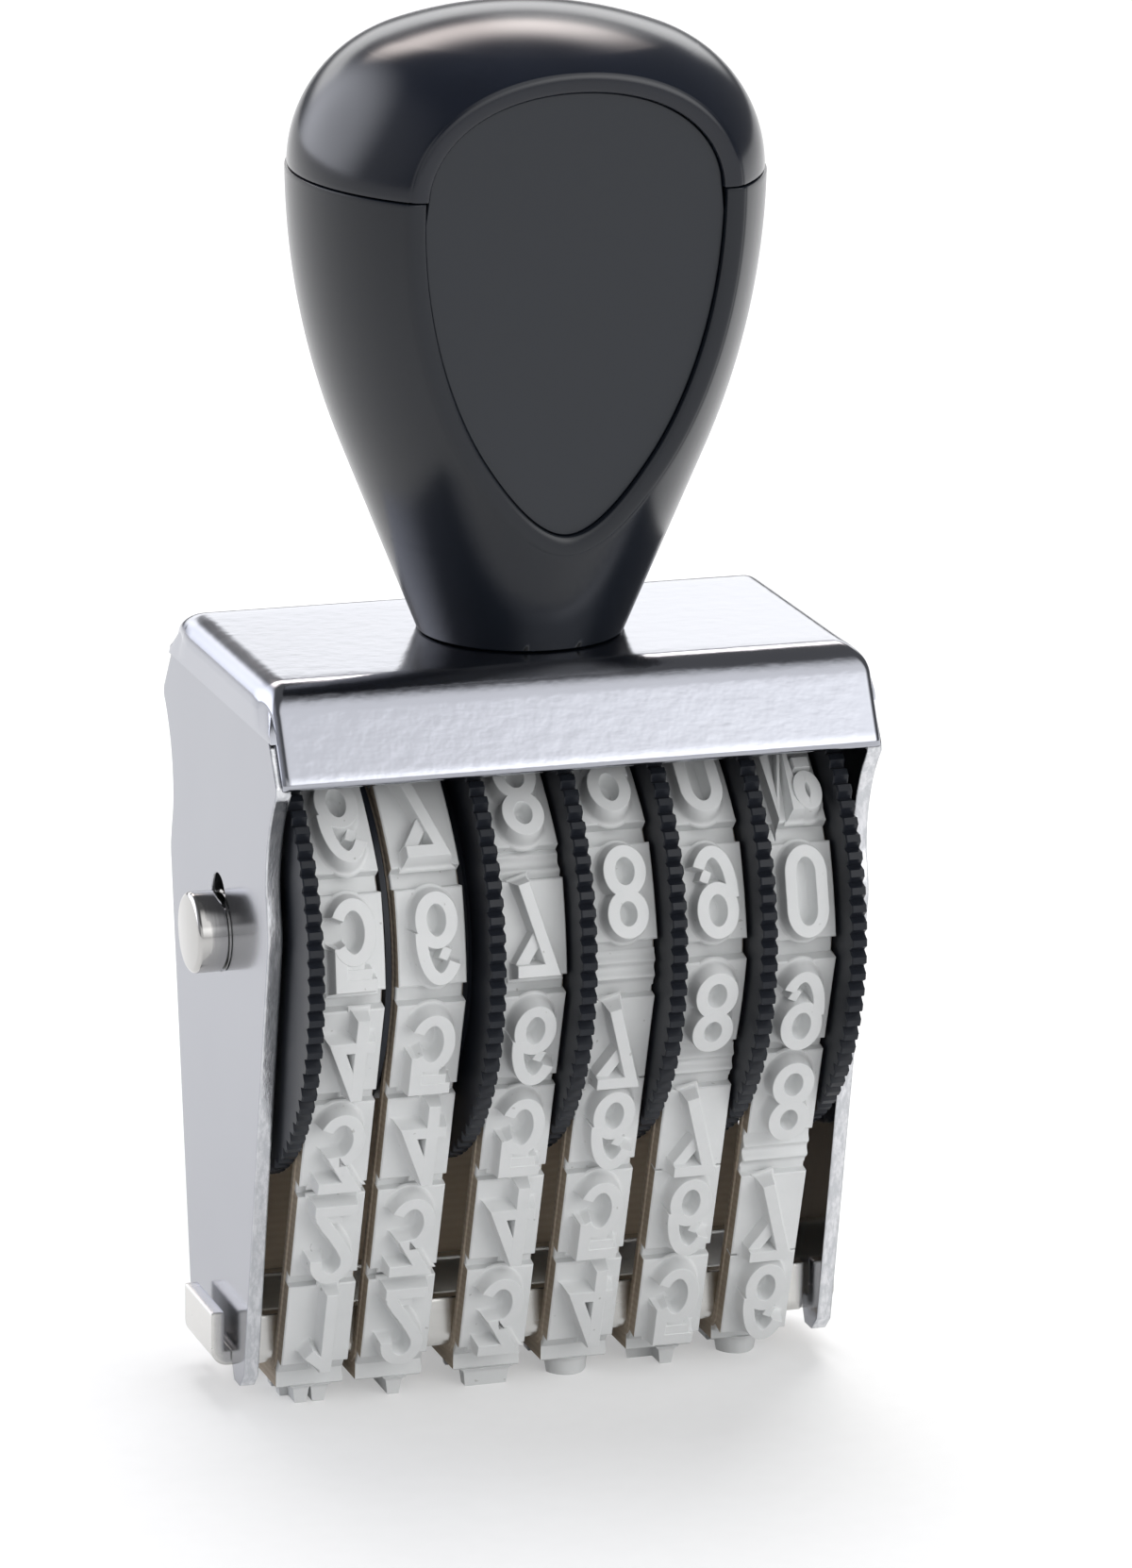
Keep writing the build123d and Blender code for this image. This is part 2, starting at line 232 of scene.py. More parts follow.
bent_sheet = plated_sheet("plated_rolled_steel", "#a5a7af", "#adafb6", False)
# The side plates take a copy of the same plated steel, tinted darker: painted shade, for the dimmer light that their
# upright faces mirror.
side_sheet_painted_shade = plated_sheet("plated_rolled_steel_side_painted_shade", "#999ba3", "#a1a3aa", True)
blanked = cut_edge()


def hood_skins():
    """Roof and flanges: the outline (flange, arc, roof and back) moved along X. Towards each end it sinks by a quarter
    circle, wide over the roof, where the sheet is bent down, and narrow on the flanges, whose ends stop short of the
    plates. The inside is the same shape, one sheet thickness deeper. A skirt with a knee leads down to each plate."""
    steep = atan2(FLANGE_DROP, FLANGE_HALF - ROOF_HALF)
    cut = BEND_R * tan(steep / 2)
    length = hypot(FLANGE_DROP, FLANGE_HALF - ROOF_HALF) - cut
    up = np.concatenate([[0, 0.05, 0.15], np.linspace(0.3, length, 9)])
    bend = np.linspace(steep, 0, 15)[1:]
    tilt = np.concatenate([np.full(len(up), steep), bend, np.zeros(7)])
    y = np.concatenate([up * cos(steep) - FLANGE_HALF, cut - ROOF_HALF - BEND_R * np.sin(bend),
                        np.linspace(cut - ROOF_HALF, 0, 8)[1:]])
    z = np.concatenate([TOP_Z - FLANGE_DROP + up * sin(steep), TOP_Z - BEND_R + BEND_R * np.cos(bend),
                        np.full(7, TOP_Z)])
    thin = np.concatenate([[0.3, 0.15, 0.05], np.zeros(len(y) - 3)])
    y, tilt = np.concatenate([y, -y[-2::-1]]), np.concatenate([tilt, -tilt[-2::-1]])
    z, thin = np.concatenate([z, z[-2::-1]])[:, None], np.concatenate([thin, thin[-2::-1]])[:, None]
    share = np.abs(tilt[:, None]) / steep
    end_r = SIDE_BEND_R + (FLANGE_END_R - SIDE_BEND_R) * share**2 * (3 - 2 * share)
    inner_r = np.maximum(end_r - SHEET, 0.05)
    turn = np.concatenate([np.linspace(-pi / 2, 0, 11), np.linspace(0, pi / 2, 11)])[None]
    side = np.repeat([-1, 1], 11)[None]
    wide = HALF_WIDTH - np.where(side < 0, FLANGE_SHORT, FLANGE_FLUSH) * share

    def layer(radius, sink):
        """One face of the sheet: the outline sunk along its own normal, and round the end bends by a radius."""
        x = side * (wide - end_r) + radius * np.sin(turn)
        sink = sink + radius * (1 - np.cos(turn))
        return np.stack([x, y[:, None] + sink * np.sin(tilt)[:, None], z - sink * np.cos(tilt)[:, None]], -1)

    outer, inner = layer(end_r, thin), layer(inner_r, SHEET - thin)
    skins = [(np.concatenate([outer, inner[:, ::-1]], 1), False, True, 0)]
    skins += [(np.stack([outer[row], inner[row]]), False, False, 0) for row in (0, -1)]
    first = len(up) - 1
    for column, sign in ((0, -1), (-1, 1)):
        top = outer[first:len(y) - first, column]
        proud = np.full(len(top), sign * (HALF_WIDTH + SKIRT_PROUD))
        knee = np.stack([proud, top[:, 1] * KNEE_SPREAD, np.full(len(top), HOOD_LOW + KNEE_RISE)], -1)
        foot = np.stack([proud, top[:, 1] * FOOT_SPREAD, np.full(len(top), HOOD_LOW - FOOT_DROP)], -1)
        skirt = np.stack([top, knee, foot])
        skins.append((skirt, False, False, 0))
        for end in (0, -1):
            edge = skirt[:, end]
            skins.append((np.stack([edge, edge - [sign * SHEET, 0, 0]]), False, False, 0))
    return skins


def keep_plates(work):
    """Leaves the two side plates up to the hood, closed on top."""
    everything = work.verts[:] + work.edges[:] + work.faces[:]
    bmesh.ops.bisect_plane(work, geom=everything, dist=1e-7, plane_co=(0, 0, HOOD_LOW * MM), plane_no=(0, 0, 1),
                           clear_outer=True)
    flanges = [v for v in work.verts if abs(v.co.x) < (HALF_WIDTH - SHEET - 0.01) * MM]
    bmesh.ops.delete(work, geom=flanges, context="VERTS")
    bmesh.ops.holes_fill(work, edges=[e for e in work.edges if e.is_boundary])


def sheet_faces(centre, normal):
    """The side plates' narrow blanked faces 1, and their broad faces 2."""
    return np.where(np.abs(normal[:, 0]) > 0.7, 2, 1)


plates = clean_copy("side_plates", "frame", [bent_sheet, blanked, side_sheet_painted_shade], sheet_faces, keep_plates)
# The plates' shoulders stand back from the flanges
at = np.empty(len(plates.data.vertices) * 3)
plates.data.vertices.foreach_get("co", at)
at = at.reshape(-1, 3)
shoulder = at[:, 2] > (TOP_Z - FLANGE_DROP - 0.01) * MM
at[:, 1] -= np.sign(at[:, 1]) * shoulder * SET_BACK * MM
plates.data.vertices.foreach_set("co", at.ravel())
shell = piece("frame_sheet", hood_skins(), [bent_sheet, blanked, side_sheet_painted_shade], 40)
# Hood and plates become one piece
work = bmesh.new()
work.from_mesh(shell.data)
work.from_mesh(plates.data)
work.to_mesh(shell.data)
work.free()
bpy.data.meshes.remove(plates.data)
settle(shell, "stamp", "plated_sheet", "frame")

# Bridge: a strip of the same steel bent into a channel, that the bands run under and print on. A tongue at each end
# goes through a notch of the side plate and is hooked up outside it.


def bridge_plate():
    """Nickel on bent strip, warmer and softer than the frame's plate, with drawn lines along the strip."""
    material, tree, place = blank("nickel_plated_strip")
    drawn = noise(tree, stretched(tree, place, 0.08, 1, 1), 0.22, 3.0)
    finish(tree, Base_Color=mixed(tree, drawn, "#cfcecb", "#dcdbd8"), Metallic=1.0,
           Roughness=spread(tree, drawn, 0.23, 0.29), Normal=bumped(tree, drawn, 0.02, 0.03, eased_edge(tree, 0.3)))
    return material


def one_finish(centre, normal):
    """The same material on every face."""
    return np.zeros(len(centre))


channel = clean_copy("printing_bridge", "bridge", [bridge_plate()], one_finish)
settle(channel, "stamp", "bridge_steel", "bridge")

# Axle: a turned steel pin, nickel plated and polished, pushed up into the slots of the side plates by the bands.
# Its ends are slightly rounded, and a shallow relief leaves a dark line where it enters each plate.
AXLE_Z = 25.95
AXLE_R = 2.2
AXLE_OVERHANG = 1.7
RELIEF = 0.14


def turned_x(x, r, steps):
    """Lathe grid round the axle: each profile point (x, r) becomes a ring."""
    turn = np.linspace(0, 2 * pi, steps, endpoint=False)
    x, r = np.asarray(x, float)[:, None], np.asarray(r, float)[:, None]
    return np.stack([x + 0 * turn, r * np.cos(turn), AXLE_Z + r * np.sin(turn)], -1)


def polished_nickel():
    """Polished nickel: warm mirror with faint turning lines round the pin."""
    material, tree, place = blank("polished_nickel_pin")
    lines = noise(tree, stretched(tree, place, 1, 0.1, 0.1), 0.2, 2.0)
    finish(tree, Base_Color=linear("#b9b8b6"), Metallic=1.0, Roughness=spread(tree, lines, 0.07, 0.13),
           Normal=bumped(tree, lines, 0.12, 0.02))
    return material


end = HALF_WIDTH + AXLE_OVERHANG
# Profile from the end inwards: flat end, rounded edge, plain pin and relief
pin_x = np.array([0, 0, 0.02, 0.06, 0.12, 0.19, 0.27, 1.52, 1.56, 1.9, 1.94])
pin_r = AXLE_R - np.array([AXLE_R, 0.27, 0.19, 0.12, 0.06, 0.02, 0, 0, RELIEF, RELIEF, 0])
pin = turned_x([*(pin_x - end), *(end - pin_x[::-1])], [*pin_r, *pin_r[::-1]], 96)
axle = piece("wheel_axle", [(pin, False, True, 0)], [polished_nickel()])
settle(axle, "stamp", "axle_steel", "axle")

# Number wheels: black moulded plastic, each a smooth drum that drives its band by friction, beside a thin rim with a
# milled edge for the thumb. The first wheel is turned round, so that its rim is at the left end.
RIM_R = 13.25
RIM_THICK = 0.85
TOOTH_COUNT = 88
TOOTH_DEPTH = 0.40
TOOTH_LAND = 0.40
TOOTH_ROOT, RIM_EDGE = 0.7, 0.07
DRUM_R, DRUM_FILLET = 9.7, 0.15
LIP_R, LIP_THICK = 10.75, 0.3
BORE_R = 2.25
PITCH = 5.05
ROW_X = -15.8
FIRST_RIM_IN, SECOND_RIM = 0.15, 10.1
WHEEL_GAP = 0.15
PAIR_DRUM_ENDS = {1: -10.435, 2: -10.285}


def wheel_plastic():
    """Matt black moulded nylon: dull, with a fine spark texture, and an even middle tone on the tooth tops."""
    material, tree, place = blank("matt_black_moulded_nylon")
    spark = noise(tree, place, 0.14, 2.0)
    smear = noise(tree, place, 2.5, 3.0)
    spoke = add(tree, "VectorMath", {0: place, 1: (0, 0, AXLE_Z * MM)}, operation="SUBTRACT").outputs[0]
    across = add(tree, "VectorMath", {0: spoke, 1: (0, 1, 1)}, operation="MULTIPLY").outputs[0]
    radius = add(tree, "VectorMath", {0: across}, operation="LENGTH").outputs["Value"]
    # The tooth tops take one even tone, halfway between the smear's two.
    tooth_tops = spread(tree, radius, 0, 1, (RIM_R - 0.12) * MM, RIM_R * MM)
    dusty = mixed(tree, smear, "#1b1e24", "#23262d")
    finish(tree, Base_Color=mixed(tree, tooth_tops, dusty, "#1f2228"), Roughness=spread(tree, smear, 0.30, 0.42), IOR=1.5,
           Specular_IOR_Level=0.23, Normal=bumped(tree, spark, 0.15, 0.03))
    return material


def wheel_skin(left, drum_end, lip):
    """Lathe with a milled rim: the rim's radius falls by the tooth depth in a rounded V once per tooth, outside the
    land's share of the pitch. The first wheel's drum ends in a lip."""
    per_tooth = 10
    turn = np.arange(TOOTH_COUNT * per_tooth) * 2 * pi / (TOOTH_COUNT * per_tooth)
    phase = np.abs((turn * TOOTH_COUNT / (2 * pi)) % 1 - 0.5) * 2
    dip = TOOTH_DEPTH * np.clip((phase - TOOTH_LAND) / (1 - TOOTH_LAND), 0, 1) ** 0.8
    right = left + RIM_THICK
    far = right if drum_end > right else left
    near = left + right - far
    out = 1 if far > near else -1
    x = [near, near, near, near + RIM_EDGE * out, far - RIM_EDGE * out, far, far, far, far + DRUM_FILLET * out]
    r = [BORE_R, RIM_R - TOOTH_ROOT, RIM_R - RIM_EDGE, RIM_R, RIM_R, RIM_R - RIM_EDGE, RIM_R - TOOTH_ROOT,
         DRUM_R + DRUM_FILLET, DRUM_R]
    cut = [0, 0, 1, 1, 1, 1, 0, 0, 0]
    if lip:
        x += [drum_end - LIP_THICK, drum_end - LIP_THICK, drum_end, drum_end]
        r += [DRUM_R, LIP_R, LIP_R, BORE_R]
    else:
        x += [drum_end, drum_end]
        r += [DRUM_R, BORE_R]
    cut += [0] * (len(x) - len(cut))
    x = np.array(x)[:, None] + 0 * turn
    r = np.array(r)[:, None] - np.array(cut)[:, None] * dip
    return np.stack([x, r * np.cos(turn), AXLE_Z + r * np.sin(turn)], -1)


def rim_left(index):
    """Left face of a wheel's rim, counted from the left end of the row."""
    return ROW_X + (FIRST_RIM_IN if index == 1 else SECOND_RIM + (index - 2) * PITCH)


nylon = wheel_plastic()
for i in range(1, 7):
    drum_end = PAIR_DRUM_ENDS.get(i, rim_left(i) + RIM_THICK - PITCH + WHEEL_GAP)
    wheel = piece(f"milled_wheel_{i}", [(wheel_skin(rim_left(i), drum_end, i == 1), True, True, 0)], [nylon], 28)
    settle(wheel, f"wheel_{i}", "wheel_plastic", f"number_wheel_{i}")

# Type bands: endless belts moulded in pale grey rubber on a brown woven backing. Each carries pads with raised
# figures, flipped to print upright, and a glued splice; a wheel drives it above and the bridge turns it below.
BAND_WIDTH = 3.75
BELT, PAD, RISE = 0.7, 0.5, 1.0
SEAT_R = 9.85
CORNER_R = 1.0
CORNER_Y = 2.65
BRIDGE_Z = BELT + PAD + RISE
CORNER_Z = BRIDGE_Z + CORNER_R
REACH = hypot(CORNER_Y, AXLE_Z - CORNER_Z)
LEAN = asin((SEAT_R - CORNER_R) / REACH) - atan2(CORNER_Y, AXLE_Z - CORNER_Z)
RUN = sqrt(REACH**2 - (SEAT_R - CORNER_R) ** 2)
PITCH_LINE = 0.4
BEND = (CORNER_R + PITCH_LINE) * (pi / 2 - LEAN)
LOOP = 2 * (CORNER_Y + BEND + RUN) + (SEAT_R + PITCH_LINE) * (pi + 2 * LEAN)
SPLICE_EXTRA, SPLICE_AFTER = 1.5, 7
TYPE_COUNT, TYPE_OFFSET = 15, 1.2
TYPE_PITCH = (LOOP - SPLICE_EXTRA) / TYPE_COUNT
PAD_GAP, PAD_EDGE = 0.7, 0.07
PAD_LENGTH = TYPE_PITCH - PAD_GAP
CLOTH = 0.42
CLOTH_LEFT, CLOTH_RIGHT = 0.08, 0.10
# The cloth behind starts to widen this far above the lower end of the rims; the strokes of a figure differ by a step in
# height, so that no two faces fall together; pads and splice take a share of the drum's curve
FREE_EARLY = 2.6
STROKE_STEP = 0.004
DRUM_SHARE, SPLICE_SHARE = 0.45, 0.6
PAIR_LEFT = {1: -14.62, 2: -10.15}
THIRD_RIM_RIGHT, RIM_PLAY = 10.95, 0.28


def on_loop(s):
    """Place and outward angle on the band's inner face: flat under the bridge, round its corner, straight up to the
    drum, round the drum, and mirrored behind. s runs from the bottom centre to the front and up."""
    s = np.asarray(s, float) % LOOP
    behind = s > LOOP / 2
    s = np.where(behind, LOOP - s, s)
    turn = np.clip((s - CORNER_Y) / (CORNER_R + PITCH_LINE), 0, pi / 2 - LEAN)
    along = np.clip(s - CORNER_Y - BEND, 0, RUN)
    wrap = np.maximum(s - CORNER_Y - BEND - RUN, 0) / (SEAT_R + PITCH_LINE)
    angle = -pi / 2 - turn - wrap
    y = -np.minimum(s, CORNER_Y) + CORNER_R * np.cos(-pi / 2 - turn) - along * sin(LEAN)
    z = CORNER_Z + CORNER_R * np.sin(-pi / 2 - turn) + along * cos(LEAN)
    y = np.where(wrap > 0, SEAT_R * np.cos(angle), y)
    z = np.where(wrap > 0, AXLE_Z + SEAT_R * np.sin(angle), z)
    return np.where(behind, -y, y), z, np.where(behind, pi - angle, angle)


def laid(centre, bend, x, along, height):
    """Lays a flat shape on the loop at one place, bent inwards by a share of the drum's own curve."""
    y0, z0, angle = on_loop(centre)
    height = height - bend * along**2 / (2 * SEAT_R)
    y = y0 + height * np.cos(angle) + along * np.sin(angle)
    z = z0 + height * np.sin(angle) - along * np.cos(angle)
    return np.stack(np.broadcast_arrays(x, y, z), -1)


def arc(cx, cy, rx, ry, start, stop, count=28):
    """Part of an ellipse, angles in degrees."""
    a = np.radians(np.linspace(start, stop, count))
    return np.stack([cx + rx * np.cos(a), cy + ry * np.sin(a)], -1)


def ring(cx, cy, rx, ry):
    """A closed centre line, at full height."""
    return arc(cx, cy, rx, ry, 0, 360, 57)[:-1], True, 0.0


def long_ring(rx, ry, apart):
    """A closed centre line with straight sides between two half ellipses."""
    halves = [arc(0, apart, rx, ry, 0, 180), arc(0, -apart, rx, ry, 180, 360)]
    return np.concatenate(halves), True, 0.0


def run(*points, sunk=0.0):
    """An open centre line; a web between strokes is sunk below their faces."""
    return np.array(points, float), False, sunk


# Centre lines of the type, in mm from the middle of a 5 mm high figure
FIGURES = {
    "0": [long_ring(0.86, 1.2, 0.97)],
    "1": [run((0.3, -2.5), (0.3, 2.5)), run((0.3, 2.2), (-0.7, 1.3))],
    "2": [run(*arc(0, 1.15, 0.85, 1.02, 186, -22), (0.5, 0.2), (0.05, -0.5), (-0.42, -1.15), (-0.75, -1.7),
              (-0.82, -2.17)), run((-1.14, -2.17), (1.15, -2.17)), run((-0.4, -1.6), (0.35, -1.7), sunk=0.12)],
    "3": [run((-1.12, 2.17), (0.72, 2.17), (-0.25, 0.5), *arc(-0.1, -0.84, 0.95, 1.33, 92, -150))],
    "4": [run((0.42, 2.3), (-0.85, -0.85), (1.18, -0.85)), run((0.45, -2.5), (0.45, 2.5))],
    "5": [run((1.1, 2.17), (-0.82, 2.17), (-0.82, 0.15)), run(*arc(-0.08, -0.69, 0.93, 1.48, 146, -150)),
          run((-0.55, 1.62), (0.85, 1.62), sunk=0.05), run((-0.55, 1.25), (0.45, 1.25), sunk=0.10)],
    "6": [ring(0.02, -0.98, 0.85, 1.19), run(*arc(0.16, -0.15, 1.02, 2.32, 184, 40)),
          run((0.3, 0.75), (0.72, 0.95), sunk=0.30)],
    "7": [run((-1.15, 2.17), (0.78, 2.17), (-0.62, -2.5)), run((-0.92, 1.9), (0.1, 0.3), sunk=0.28)],
    "8": [ring(0, -1.1, 0.86, 1.07), ring(0, 1.18, 0.82, 0.99)],
    "9": [ring(-0.02, 0.98, 0.85, 1.19), run(*arc(-0.16, 0.15, 1.02, 2.32, 4, -140)),
          run((-0.3, -0.75), (-0.72, -0.95), sunk=0.30)],
    "#": [run((-0.45, -2.4), (-0.45, 2.4)), run((0.55, -2.4), (0.55, 2.4)), run((-1.2, 0.8), (1.25, 0.8)),
          run((-1.2, -0.8), (1.25, -0.8))],
    "No": [run((-1.05, -2.4), (-1.05, 2.3), (0.1, -2.3), (0.1, 2.4)), ring(0.85, 1.3, 0.45, 0.85),
           run((0.45, -0.4), (1.3, -0.4))],
    "-": [run((-1.0, 0), (1.0, 0))],
    ".": [run((-0.3, -2.1), (0.35, -2.1))],
    "/": [run((-0.9, -2.4), (0.9, 2.4))],
}
ON_BAND = ["#", "1", "2", "3", "4", "5", "6", "7", "8", "9", "0", "No", "-", "/", "."]


def stroke(path, closed, sunk):
    """Carries the type's section along a centre line: a flat face 0.65 mm wide with a narrow bevel, flanks that slope
    out by 8 degrees and a hollow foot. Open ends slope out in the same way. Returns x, up and height grids."""
    half = np.array([0.66, 0.60, 0.52, 0.46, 0.43, 0.335, 0.305])
    high = np.array([-0.1, 0.0, 0.03, 0.11, 0.24, 0.965, 1.0]) * RISE
    across = np.concatenate([-half, half[::-1]])
    height = np.concatenate([high, high[::-1]]) - sunk
    splay = np.abs(across) - half[-1]
    ahead = np.roll(path, -1, 0) - path
    ahead /= np.linalg.norm(ahead, axis=1, keepdims=True)
    before = np.roll(ahead, 1, 0)
    if not closed:
        ahead[-1] = ahead[-2]
        before[0] = ahead[0]
    tangent = ahead + before
    tangent /= np.linalg.norm(tangent, axis=1, keepdims=True)
    mitre = 1 / np.clip(np.sum(tangent * ahead, axis=1), 0.5, 1)
    side = np.stack([-tangent[:, 1], tangent[:, 0]], -1) * mitre[:, None]
    grid = path[:, None] + side[:, None] * across[None, :, None]
    if not closed:
        grid[0] -= tangent[0] * splay[:, None]
        grid[-1] += tangent[-1] * splay[:, None]
        first = path[0] - tangent[0] * splay[:, None]
        last = path[-1] + tangent[-1] * splay[:, None]
        grid = np.concatenate([first[None], grid, last[None]])
    return grid[..., 0], grid[..., 1], np.broadcast_to(height, grid.shape[:2])


def moulded_rubber():
    """Pale grey moulded rubber: dull and faintly mottled, with a few specks of old ink."""
    material, tree, place = blank("pale_moulded_rubber")
    mottle = noise(tree, place, 1.6, 4.0, 0.6)
    fine = noise(tree, place, 0.12, 2.0)
    ink = spread(tree, noise(tree, place, 0.45, 1.0), 0, 0.35, 0.76, 0.80)
    pale = mixed(tree, mottle, "#d8dada", "#e3e4e4")
    finish(tree, Base_Color=mixed(tree, ink, pale, "#77746c"), Roughness=spread(tree, mottle, 0.55, 0.72), IOR=1.45,
           Normal=bumped(tree, fine, 0.12, 0.03))
    return material


def woven_backing(name, dark, pale):
    """Brown woven backing: threads 0.4 mm apart, as the wave repeats every 0.314 of its scale. The copy for the inside
    of the loop is paler than the one for the cut sides: painted light in the loop's shaded hollow."""
    material, tree, place = blank(name)
    weave = add(tree, "TexWave", {"Vector": place, "Scale": per_mm(1.27), "Distortion": 1.5, "Detail": 2.0},
                bands_direction="Z").outputs["Fac"]
    thread = mixed(tree, noise(tree, place, 1.8, 4.0), dark, pale)
    furrow = spread(tree, weave, 0, 0.5)
    finish(tree, Base_Color=mixed(tree, furrow, thread, dark), Roughness=0.75, Normal=bumped(tree, weave, 0.25, 0.05))
    return material


def belt_skin(left, loose_left, loose_right):
    """The belt as a closed loop: a cloth under a rubber face. The cloth stands out a little at both sides, and by the
    loose widths on the free run behind, below the rims."""
    s = np.linspace(0, LOOP, 420, endpoint=False)
    y, z, angle = on_loop(s)

    def strip(x, h):
        """A strip along the whole belt: x from its left edge and height over its inner face."""
        x, h = np.array(x)[None], np.array(h)[None]
        return np.stack(np.broadcast_arrays(left + x, y[:, None] + h * np.cos(angle)[:, None],
                                            z[:, None] + h * np.sin(angle)[:, None]), -1)

    inset, edge, knee = 0.03, 0.06, 0.36
    low, high = inset, BAND_WIDTH - inset
    below = np.abs(s - LOOP / 2) - (SEAT_R + PITCH_LINE) * (pi / 2 + LEAN) - sqrt(RIM_R**2 - SEAT_R**2)
    free = np.clip(below + FREE_EARLY, 0, 1)[:, None] * (s > LOOP / 2)[:, None]
    wide = BAND_WIDTH + CLOTH_RIGHT + (loose_right - CLOTH_RIGHT) * free
    narrow = -CLOTH_LEFT - (loose_left - CLOTH_LEFT) * free
    cloth = strip([low, 0, 0, 0, 0, high], [CLOTH, knee, 0, 0, knee, CLOTH])
    cloth[:, 1:3, 0] += narrow
    cloth[:, 3:5, 0] += wide
    face = strip([high, high, high - edge, low + edge, low, low],
                 [CLOTH, BELT - edge, BELT, BELT, BELT - edge, CLOTH])
    return [(cloth[:, :3], True, False, 1), (cloth[:, 2:4], True, False, 2), (cloth[:, 3:], True, False, 1),
            (face, True, False, 0)]


def pad_skin(left, centre, bend):
    """A pad: a block as wide as the band with rounded upper edges, its sides in backing."""
    along = np.array([-1, -1, -1, -0.97, -0.5, 0, 0.5, 0.97, 1, 1, 1])[:, None] * PAD_LENGTH / 2
    whole = PAD + BELT - 0.02
    drop = np.array([whole, 2 * PAD_EDGE, PAD_EDGE, 0, 0, 0, 0, 0, PAD_EDGE, 2 * PAD_EDGE, whole])[:, None]
    x = np.array([0, PAD_EDGE, 0.5, BAND_WIDTH / 2, BAND_WIDTH - 0.5, BAND_WIDTH - PAD_EDGE, BAND_WIDTH])[None]
    edge = np.array([PAD_EDGE, 0, 0, 0, 0, 0, PAD_EDGE])[None]
    top = laid(centre, bend, left + x, along, BELT + PAD - np.maximum(drop, edge))
    lengthwise = along[2:-2, 0][:, None]
    down = np.array([PAD_EDGE, 0.25, whole])[None]
    skins = [(top, False, False, 0)]
    for at in (0, BAND_WIDTH):
        skins.append((laid(centre, bend, left + at + 0 * down, lengthwise, BELT + PAD - down), False, False, 1))
    return skins


def splice_skin(left, centre):
    """The glued splice: two soft ridges across the belt, each a bell curve along it."""
    along = np.linspace(-1.05, 1.05, 25)[:, None]
    ridge = 0.34 * np.exp(-((along + 0.42) / 0.26) ** 2) + 0.28 * np.exp(-((along - 0.45) / 0.24) ** 2)
    x = np.array([0.0, 0.0, 0.08, BAND_WIDTH / 2, BAND_WIDTH - 0.08, BAND_WIDTH, BAND_WIDTH])[None]
    keep = np.array([0, 0.8, 1, 1, 1, 0.8, 0])[None]
    return [(laid(centre, SPLICE_SHARE, left + x, along, BELT - 0.05 + (ridge + 0.08) * keep), False, False, 0)]


def band_left(index):
    """Left edge of a band; the first two lie close together between the first two rims."""
    return PAIR_LEFT.get(index, ROW_X + THIRD_RIM_RIGHT + (index - 3) * PITCH + RIM_PLAY)


# How far each band has crept round its wheel, the width of its splice, how far the pad before the splice has slipped
# down, and how far the cloth behind stands out to the left and to the right
CREEP = [0, 0, 0, 0.1, 0.45, 0.75]
SPLICE = [SPLICE_EXTRA, SPLICE_EXTRA, 0.6, SPLICE_EXTRA, SPLICE_EXTRA, SPLICE_EXTRA]
SLIP = [0, 0, 0, 0.6, 0.6, 0.6]
LOOSE_LEFT = [0.5, 0.3, 0.5, 0.5, 0.5, 0.5]
LOOSE_RIGHT = [0.3, 0.8, 0.8, 0.8, 0.8, 0.8]
rubber = moulded_rubber()
cut_side = woven_backing("brown_backing_cut_side", "#968979", "#bbae9d")
# The inside of the loop is coloured paler than the cut sides: painted light, for light in the shaded hollow of the
# loop.
inside = woven_backing("brown_backing_inner_face_painted_light", "#d3bfa5", "#e2d3bd")
for i in range(1, 7):
    left, splice, slip = band_left(i), SPLICE[i - 1], SLIP[i - 1]
    first = TYPE_OFFSET - (i - 1) * TYPE_PITCH - CREEP[i - 1]
    skins = belt_skin(left, LOOSE_LEFT[i - 1], LOOSE_RIGHT[i - 1])
    skins += splice_skin(left, first + (SPLICE_AFTER + 0.5) * TYPE_PITCH + (splice - slip) / 2)
    for k, sign in enumerate(ON_BAND):
        centre = first + k * TYPE_PITCH + (splice if k > SPLICE_AFTER else 0) - (slip if k == SPLICE_AFTER else 0)
        from_top = abs((centre % LOOP) - LOOP / 2)
        bend = DRUM_SHARE if from_top < (SEAT_R + PITCH_LINE) * (pi / 2 + LEAN) else 0.0
        skins += pad_skin(left, centre, bend)
        for n, (path, closed, sunk) in enumerate(FIGURES[sign]):
            x, up, height = stroke(path, closed, sunk - STROKE_STEP * n)
            skins.append((laid(centre, bend, left + BAND_WIDTH / 2 + x, -up, BELT + PAD + height), closed, True, 0))
    band = piece(f"printing_band_{i}", skins, [rubber, cut_side, inside], 32)
    settle(band, "stamp", "band_rubber", f"type_band_{i}")

# Handle: two black ABS mouldings, a grip and a cap plugged into it, turned in form with a flat in front and behind.
# The cap is polished, the grip has a softer gloss, and a screw from under the roof holds both.
SEAM_Z = 66.9
NECK_R, CONE_R, SEAM_R = 5.55, 9.75, 12.75
CONE_Z = 51.9
CAP_R, SHOULDER_R, CAP_TOP = 12.65, 7.6, 75.4
EDGE_POWER = 260
FLAT_AT, FLAT_Z, FLAT_SLOPE = 7.92, 47.6, 0.0434
SHOULDER_STEPS, TIP_STEPS = 18, 30


def flat_at(z):
    """Distance of the tilted flats from the middle, growing with height."""
    return FLAT_AT + FLAT_SLOPE * (z - FLAT_Z)


def grip_radius(z):
    """The grip's side: a cone, then an arc that leaves it smoothly and ends upright at the seam."""
    slope = np.array([CONE_R - NECK_R, CONE_Z - TOP_Z])
    inward = np.array([-slope[1], slope[0]]) / np.linalg.norm(slope)
    chord = np.array([SEAM_R - CONE_R, SEAM_Z - CONE_Z])
    radius = chord @ chord / (2 * chord @ inward)
    centre = np.array([CONE_R, CONE_Z]) + radius * inward
    cone = NECK_R + (z - TOP_Z) * slope[0] / slope[1]
    return np.where(z < CONE_Z, cone, centre[0] + np.sqrt(np.maximum(radius**2 - (z - centre[1]) ** 2, 0)))


